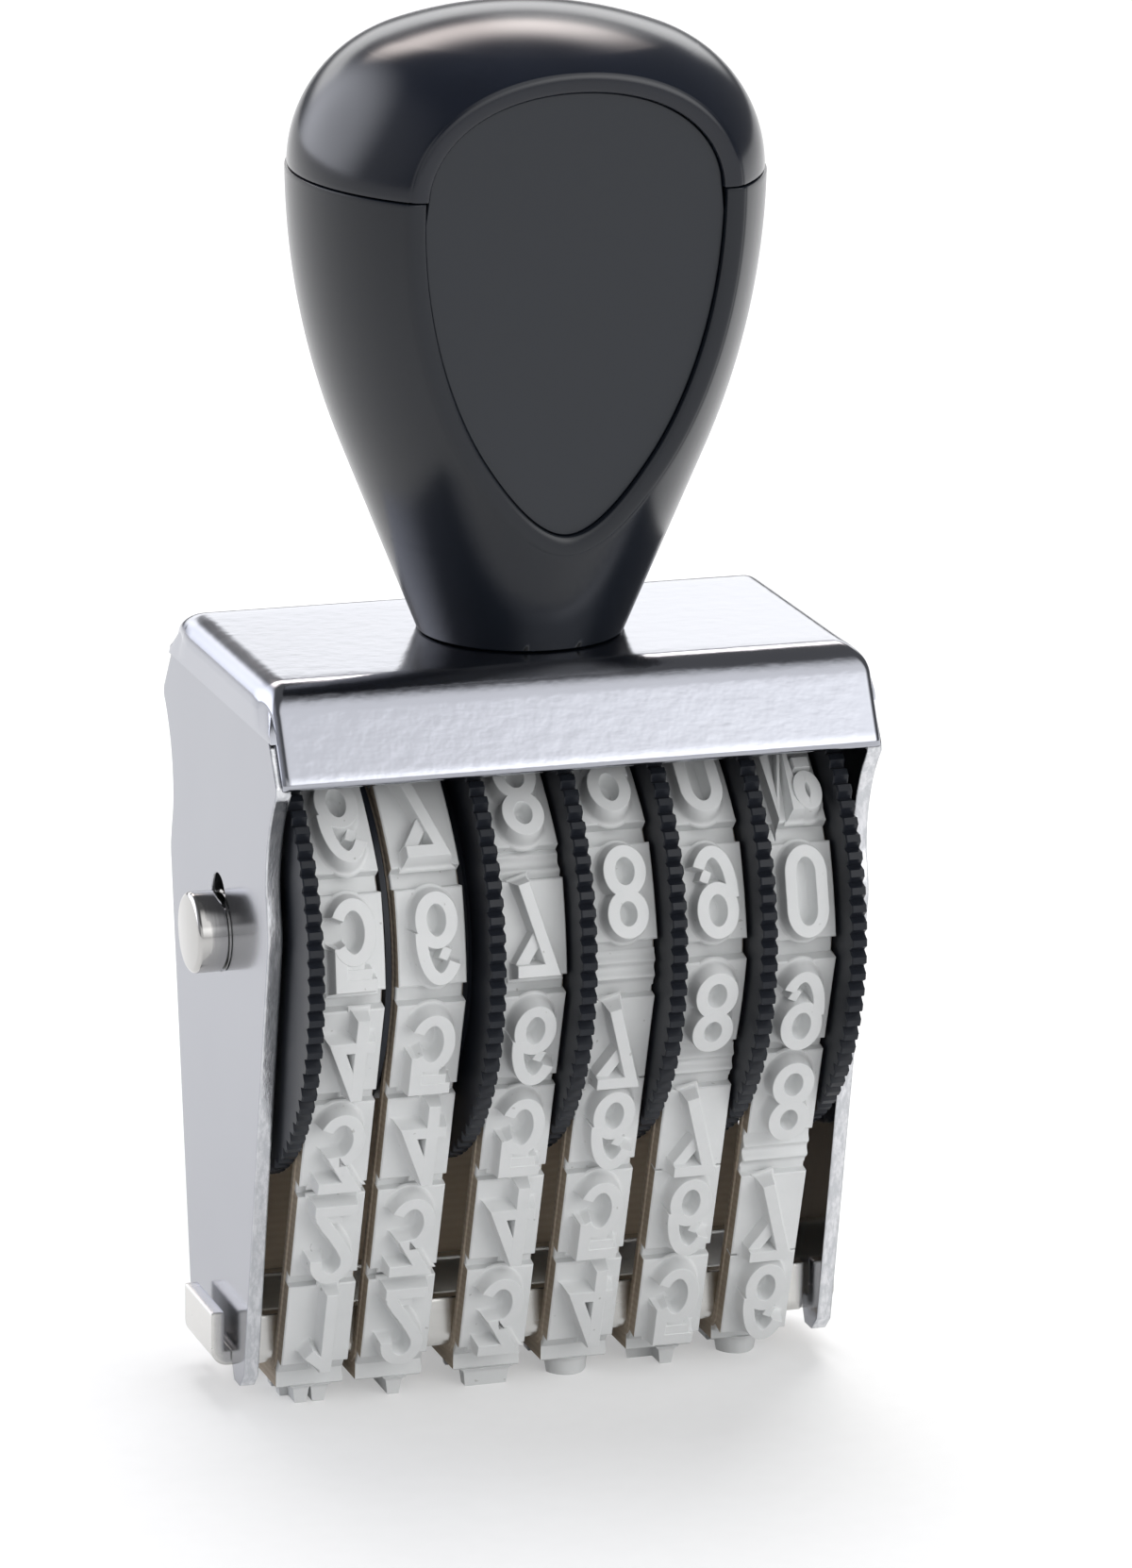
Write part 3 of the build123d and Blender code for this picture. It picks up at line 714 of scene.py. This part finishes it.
def cap_side(a):
    """The cap's side for angles from 0 at the seam to 90 degrees on top: a round shoulder, then a flatter crown."""
    height = CAP_TOP - SEAM_Z
    inner = CAP_R - SHOULDER_R
    crown = (CAP_R**2 + height**2 - 2 * CAP_R * SHOULDER_R) / (2 * (height - SHOULDER_R))
    change = atan2(SEAM_Z - CAP_TOP + crown, inner)
    r = np.where(a < change, inner + SHOULDER_R * np.cos(a), crown * np.cos(a))
    z = np.where(a < change, SEAM_Z + SHOULDER_R * np.sin(a), CAP_TOP - crown + crown * np.sin(a))
    return r, z


def spread_from(start, stop, count):
    """Steps from start to stop that are short at the start, for a shape that opens out like a square root."""
    return start + (stop - start) * np.linspace(0, 1, count) ** 2


def handle_skins(r, z, groove, tip_first):
    """Outside of one moulding from rings (r, z): a circle cut by two flats, with softly rounded corners, and the
    bezel round the badge's pocket on the front flat, a low crowned border. groove pulls the rings in at the seam."""
    f = flat_at(z)
    corner = np.arcsin(np.minimum(f / r, 1))
    ease = (1 - np.cos(np.linspace(0, pi, 60))) / 2
    right = -corner[:, None] + 2 * corner[:, None] * ease
    cut = np.sqrt(np.maximum(r**2 - f**2, 0))
    back_x = cut[:, None] * np.cos(np.linspace(0, pi, 31))[1:-1]
    back = np.arctan2(np.broadcast_to(f[:, None], back_x.shape), back_x)
    around = np.concatenate([right, back, pi - right[:, ::-1]], 1)
    plain = np.minimum(r[:, None], f[:, None] / np.maximum(np.abs(np.sin(around)), 1e-6))

    def soft(inner, outer):
        """Rounds the corner where two outlines cross, by a high power of their ratio."""
        return inner * (1 + (inner / outer) ** EDGE_POWER) ** (-1 / EDGE_POWER)

    other = np.maximum(r[:, None], f[:, None] / np.maximum(np.abs(np.sin(around)), 1e-6))
    radius = soft(plain, other) - groove[:, None]
    outside = np.stack([radius * np.cos(around), radius * np.sin(around),
                        np.broadcast_to(z[:, None], around.shape)], -1)

    with_flat = r >= f - 1e-9
    zf, xf, gf, rf = z[with_flat], cut[with_flat], groove[with_flat], r[with_flat]
    order = np.arange(len(zf))[::-1] if tip_first else np.arange(len(zf))
    order_back = order[::-1]
    border = np.concatenate([np.stack([-xf, zf], -1)[order], np.stack([xf, zf], -1)[order_back][1:]])
    pull = np.concatenate([gf[order], gf[order_back][1:]])
    ring_r = np.concatenate([rf[order], rf[order_back][1:]])
    ahead = np.gradient(border, axis=0)
    ahead /= np.linalg.norm(ahead, axis=1, keepdims=True)
    inward = np.stack([-ahead[:, 1], ahead[:, 0]], -1)
    if not tip_first:
        inward = -inward
    ends = np.ones(len(border))
    ends[[0, -1]] = 0
    inward[:, 1] *= ends
    off = np.array([0, 0.04, 0.1, 0.18, 0.3, 0.5, 0.8, 0.98, 1.02, 1.05, 1.05])
    sink = np.array([0, -0.025, -0.055, -0.085, -0.11, -0.12, -0.085, -0.03, 0.0, 0.06, 0.9])
    at = border[:, None] + inward[:, None] * off[None, :, None]
    depth = flat_at(at[..., 1])
    reach = np.hypot(at[..., 0], depth)
    scale = soft(np.minimum(reach, ring_r[:, None]), np.maximum(reach, ring_r[:, None])) / reach
    bezel = np.stack([at[..., 0] * scale, -(depth * scale - sink - pull[:, None]), at[..., 1]], -1)
    return [(outside, False, False, 0), (bezel, False, False, 0)], border


def grip_plastic():
    """Moulded black ABS with a satin gloss: nearly black, with a faint flow mottle in the gloss."""
    material, tree, place = blank("satin_black_moulded_abs")
    flow = noise(tree, place, 6.0, 3.0)
    fine = noise(tree, place, 0.25, 2.0)
    finish(tree, Base_Color=mixed(tree, flow, "#12161d", "#161b23"), Roughness=spread(tree, flow, 0.18, 0.25), IOR=1.44,
           Normal=bumped(tree, fine, 0.05, 0.01))
    return material


def cap_plastic():
    """Polished black ABS with a cold tint: mirror gloss, very fine handling marks."""
    material, tree, place = blank("polished_black_moulded_abs")
    marks = noise(tree, place, 3.0, 5.0)
    finish(tree, Base_Color=mixed(tree, marks, "#10141d", "#151a25"), Roughness=spread(tree, marks, 0.14, 0.19),
           IOR=1.48)
    return material


# Rings are close together at the seam and at the tips of the flats
tip_z = TOP_Z + (flat_at(TOP_Z) - NECK_R) / ((CONE_R - NECK_R) / (CONE_Z - TOP_Z) - FLAT_SLOPE)
near_seam = np.array([0.3, 0.12, 0.06, 0.04, 0.035])
seam_depth = np.array([0, 0, 0.012, 0.05, 0.5])
grip_z = np.concatenate([np.linspace(TOP_Z + 0.12, tip_z, 12)[:-1], spread_from(tip_z, CONE_Z, 26),
                         np.linspace(CONE_Z, SEAM_Z - near_seam[0], 34)[1:-1], SEAM_Z - near_seam])
grip_r = grip_radius(grip_z)
grip_groove = np.zeros(len(grip_z))
grip_groove[-len(near_seam):] = seam_depth
skins, low_border = handle_skins(grip_r, grip_z, grip_groove, True)
foot = np.linspace(0, 2 * pi, 97)
foot_r = np.array([0, NECK_R - 0.25, NECK_R - 0.1, NECK_R - 0.02, grip_r[0]])[:, None]
foot_z = np.array([TOP_Z, TOP_Z, TOP_Z + 0.02, TOP_Z + 0.07, grip_z[0]])[:, None]
foot_skin = np.stack(np.broadcast_arrays(foot_r * np.cos(foot), foot_r * np.sin(foot), foot_z), -1)
skins.append((foot_skin, False, False, 0))
grip = piece("handle_grip_moulding", skins, [grip_plastic()], 50)
settle(grip, "stamp", "grip_plastic", "handle_grip")

try_a = np.linspace(0, pi / 2, 4001)
try_r, try_z = cap_side(try_a)
tip_a = np.interp(0, (flat_at(try_z) - try_r), try_a)
closer_from = tip_a * 0.6
cap_a = np.concatenate([near_seam[::-1] / SHOULDER_R,
                        np.linspace(near_seam[0] / SHOULDER_R, closer_from, SHOULDER_STEPS)[1:-1],
                        spread_from(tip_a, closer_from, TIP_STEPS)[::-1], np.linspace(tip_a, pi / 2, 26)[1:]])
cap_r, cap_z = cap_side(cap_a)
tip_at = len(near_seam) + SHOULDER_STEPS - 2 + TIP_STEPS - 1
cap_r[tip_at] = flat_at(cap_z[tip_at])
cap_r[-1] = 1e-5
cap_groove = np.zeros(len(cap_z))
cap_groove[:len(near_seam)] = seam_depth[::-1]
skins, high_border = handle_skins(cap_r, cap_z, cap_groove, False)
cap = piece("handle_cap_moulding", skins, [cap_plastic()], 50)
settle(cap, "stamp", "cap_plastic", "handle_cap")

# Badge: a thin satin plate glued into a pocket of the front flat, across the joint of grip and cap. It is left bare.
# Its outline follows the bezel's, a little further in.
BADGE_MARGIN, BADGE_ROUND = 1.15, 1.1
BADGE_RECESS, EDGE_RECESS, BADGE_FOOT = 0.3, 0.34, 0.9


def badge_plate():
    """Satin dark grey plastic film: fine matt grain over a dark grey."""
    material, tree, place = blank("satin_grey_plastic_plate")
    grain = noise(tree, place, 0.18, 3.0)
    cloud = noise(tree, place, 8.0, 2.0)
    finish(tree, Base_Color=mixed(tree, cloud, "#161b22", "#191e26"), Roughness=spread(tree, grain, 0.36, 0.46),
           IOR=1.5, Normal=bumped(tree, grain, 0.06, 0.02))
    return material


# The left side of both borders without the rings at the seam, from the low tip to the high one
past_seam = len(near_seam) + 1
up_left = low_border[past_seam:len(low_border) // 2 + 1][::-1]
over = high_border[past_seam:len(high_border) // 2 + 1]
side_line = np.concatenate([up_left, over])
ahead = np.gradient(side_line, axis=0)
ahead /= np.linalg.norm(ahead, axis=1, keepdims=True)
inward = np.stack([ahead[:, 1], -ahead[:, 0]], -1)
inward[[0, -1], 0] = 0
flat_steps = 13
across = np.concatenate([[-1, -1], np.linspace(-1, 1, flat_steps), [1, 1]])
margin = np.array([BADGE_ROUND] * 2 + [BADGE_MARGIN] * flat_steps + [BADGE_ROUND] * 2)
level = np.array([BADGE_FOOT, EDGE_RECESS] + [BADGE_RECESS] * flat_steps + [EDGE_RECESS, BADGE_FOOT])
rim = side_line[:, None] + inward[:, None] * margin[None, :, None]
x = np.abs(rim[..., 0]) * across[None]
face = np.stack([x, -(flat_at(rim[..., 1]) - level[None]), rim[..., 1]], -1)
badge = piece("front_badge_plate", [(face, False, False, 0)], [badge_plate()])
settle(badge, "stamp", "badge_plate", "badge")

# Fixing under the roof: zinc plated screw and washer, and a brass insert in the neck. They hold the handle on.
# Their CAD solids are shown as they are, with materials of their own.


def zinc():
    """Blue zinc plate on small steel turnings: dull grey metal with a faint spangle."""
    material, tree, place = blank("zinc_plated_turning")
    spangle = add(tree, "TexVoronoi", {"Vector": place, "Scale": per_mm(0.5)}).outputs["Distance"]
    finish(tree, Base_Color=linear("#b9bcc1"), Metallic=1.0, Roughness=spread(tree, spangle, 0.28, 0.42))
    return material


def brass():
    """Turned brass: yellow metal with soft tool rings, about 1.9 mm apart."""
    material, tree, place = blank("turned_brass")
    rings = add(tree, "TexWave", {"Vector": place, "Scale": per_mm(6.0)}, bands_direction="Z").outputs["Fac"]
    finish(tree, Base_Color=linear("#c9a964"), Metallic=1.0, Roughness=spread(tree, rings, 0.22, 0.32))
    return material


zinc_plate = zinc()
for node, metal in (("handle_screw", zinc_plate), ("screw_washer", zinc_plate), ("threaded_insert", brass())):
    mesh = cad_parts[node].data
    mesh.materials.clear()
    mesh.materials.append(metal)

# Table: a seamless white sheet. For the camera and in mirrors it is lifted to white, and it keeps the soft shadow.
# The light that it throws on the stamp isn't lifted.
FLOOR_LIFT = 0.36
floor_mesh = bpy.data.meshes.new("white_table")
floor_mesh.from_pydata([(-2, -1.5, 0), (2, -1.5, 0), (2, 2, 0), (-2, 2, 0)], [], [(0, 1, 2, 3)])
floor = bpy.data.objects.new("white_table", floor_mesh)
bpy.context.scene.collection.objects.link(floor)
paper, tree, place = blank("white_table_paper")
ray = add(tree, "LightPath").outputs
mirror = add(tree, "Math", {0: ray["Is Glossy Ray"], 1: ray["Is Transmission Ray"]}, operation="MAXIMUM").outputs[0]
seen = add(tree, "Math", {0: ray["Is Camera Ray"], 1: mirror}, operation="MAXIMUM").outputs[0]
white = mixed(tree, noise(tree, place, 1.5, 2.0), "#c4c4c4", "#c8c8c8")
sheet = add(tree, "BsdfDiffuse", {"Color": white}).outputs[0]
lift = add(tree, "Math", {0: seen, 1: FLOOR_LIFT}, operation="MULTIPLY").outputs[0]
both = add(tree, "AddShader", {0: sheet, 1: add(tree, "Emission", {"Strength": lift}).outputs[0]}).outputs[0]
add(tree, "OutputMaterial", {"Surface": both})
floor_mesh.materials.append(paper)

# Light: a dim room with round soft boxes behind on the left and in front on the right, long ones low in front and high
# behind, and a pale wall behind the table, all parts of the room's own light with soft borders. A panel overhead,
# not seen in mirrors, gives the shadow.
ROOM_LEVEL = 0.15
PANEL_SIZE, PANEL_WATTS, PANEL_AT = 0.40, 3.5, (0.10, 0.22, 0.60)
# Azimuth and elevation of the middle, angle within which it is full and beyond which it is gone, level and tint
SPOTS = [(-136, 15, 12, 38, 2.75, "#f4f6ff"), (-105, 18, 5, 45, 0.4, "#f4f6ff"), (27, 37, 14, 47, 1.2, "#ffffff"),
         (33, 20, 2, 26, 1.0, "#ffffff")]
# Azimuth of the middle, azimuths to both sides within which it is full and beyond which it is gone, elevations where
# it starts, is full, is full no more and ends, level and tint
BANDS = [(0, 35, 75, -8, 3, 20, 32, 0.7, "#ffffff"), (170, 9, 26, 26, 29, 33, 43, 4.7, "#fff3ee"),
         (158, 3, 10, 20, 23, 33, 43, 1.0, "#ffffff"), (168, 20, 31, 3, 9, 17, 20.5, 1.62, "#ffffff")]
world = bpy.data.worlds.new("soft_box_room")
bpy.context.scene.world = world
world.use_nodes = True
tree = world.node_tree
tree.nodes.clear()
way = add(tree, "TexCoord").outputs["Generated"]


def toward(azimuth, elevation):
    """Direction from the stamp: azimuth in degrees from the front, to the right, and elevation above the table."""
    a, e = radians(azimuth), radians(elevation)
    return (sin(a) * cos(e), -cos(a) * cos(e), sin(e))


def soft_spot(azimuth, elevation, inner, outer, level, tint):
    """A round soft box seen under an angle, full up to the inner angle and gone at the outer one, in degrees."""
    near = add(tree, "VectorMath", {0: way, 1: toward(azimuth, elevation)}, operation="DOT_PRODUCT").outputs["Value"]
    part = spread(tree, near, 0, level, cos(radians(outer)), cos(radians(inner)), interpolation_type="SMOOTHSTEP")
    return add(tree, "Background", {"Color": linear(tint), "Strength": part}).outputs[0]


def soft_band(azimuth, inner, outer, low, full_low, full_high, high, level, tint):
    """A long soft box: between elevations, and within an azimuth to both sides of its middle, in degrees."""
    height = add(tree, "SeparateXYZ", {"Vector": way}).outputs["Z"]
    flat_way = add(tree, "VectorMath", {0: way, 1: (1, 1, 0)}, operation="MULTIPLY").outputs[0]
    level_way = add(tree, "VectorMath", {0: flat_way}, operation="NORMALIZE").outputs[0]
    near = add(tree, "VectorMath", {0: level_way, 1: toward(azimuth, 0)}, operation="DOT_PRODUCT").outputs["Value"]
    part = spread(tree, near, 0, level, cos(radians(outer)), cos(radians(inner)), interpolation_type="SMOOTHSTEP")
    rise = spread(tree, height, 0, 1, sin(radians(low)), sin(radians(full_low)), interpolation_type="SMOOTHSTEP")
    fall = spread(tree, height, 0, 1, sin(radians(high)), sin(radians(full_high)), interpolation_type="SMOOTHSTEP")
    both = add(tree, "Math", {0: rise, 1: fall}, operation="MULTIPLY").outputs[0]
    strength = add(tree, "Math", {0: part, 1: both}, operation="MULTIPLY").outputs[0]
    return add(tree, "Background", {"Color": linear(tint), "Strength": strength}).outputs[0]


room = add(tree, "Background", {"Color": linear("#fafbff"), "Strength": ROOM_LEVEL}).outputs[0]
for box in [soft_spot(*spot) for spot in SPOTS] + [soft_band(*band) for band in BANDS]:
    room = add(tree, "AddShader", {0: room, 1: box}).outputs[0]
add(tree, "OutputWorld", {"Surface": room})
lamp = bpy.data.lights.new("overhead_panel", "AREA")
lamp.size, lamp.energy = PANEL_SIZE, PANEL_WATTS
panel = bpy.data.objects.new("overhead_panel", lamp)
panel.location = PANEL_AT
panel.rotation_euler = (Vector((0, 0, 0.03)) - panel.location).to_track_quat("-Z", "Y").to_euler()
panel.visible_glossy = False
bpy.context.scene.collection.objects.link(panel)

# Camera: a long lens, a little above and to the left of the front, turned slightly about its own axis. The picture is
# 1200 by 1662 pixels.
PICTURE_HEIGHT, SENSOR = 1662, 36.0
AZIMUTH, ELEVATION, ROLL = radians(-18.65), radians(15.75), radians(0.79)
DISTANCE, PIXELS_PER_MM, TARGET = 435.0, 19.6, Vector((2.73, 0, 32.6))
back = Vector((sin(AZIMUTH) * cos(ELEVATION), -cos(AZIMUTH) * cos(ELEVATION), sin(ELEVATION)))
level_right = Vector((cos(AZIMUTH), sin(AZIMUTH), 0))
upright = back.cross(level_right)
right = level_right * cos(ROLL) + upright * sin(ROLL)
up = upright * cos(ROLL) - level_right * sin(ROLL)
lens = bpy.data.cameras.new("camera")
lens.sensor_width = SENSOR
lens.lens = PIXELS_PER_MM * DISTANCE * SENSOR / PICTURE_HEIGHT
lens.clip_start, lens.clip_end = 0.01, 20
camera = bpy.data.objects.new("camera", lens)
aim = Matrix((right, up, back)).transposed().to_4x4()
camera.matrix_world = Matrix.Translation((TARGET + back * DISTANCE) * MM) @ aim
bpy.context.scene.collection.objects.link(camera)
bpy.context.scene.camera = camera
bpy.context.scene.view_settings.view_transform = "Standard"
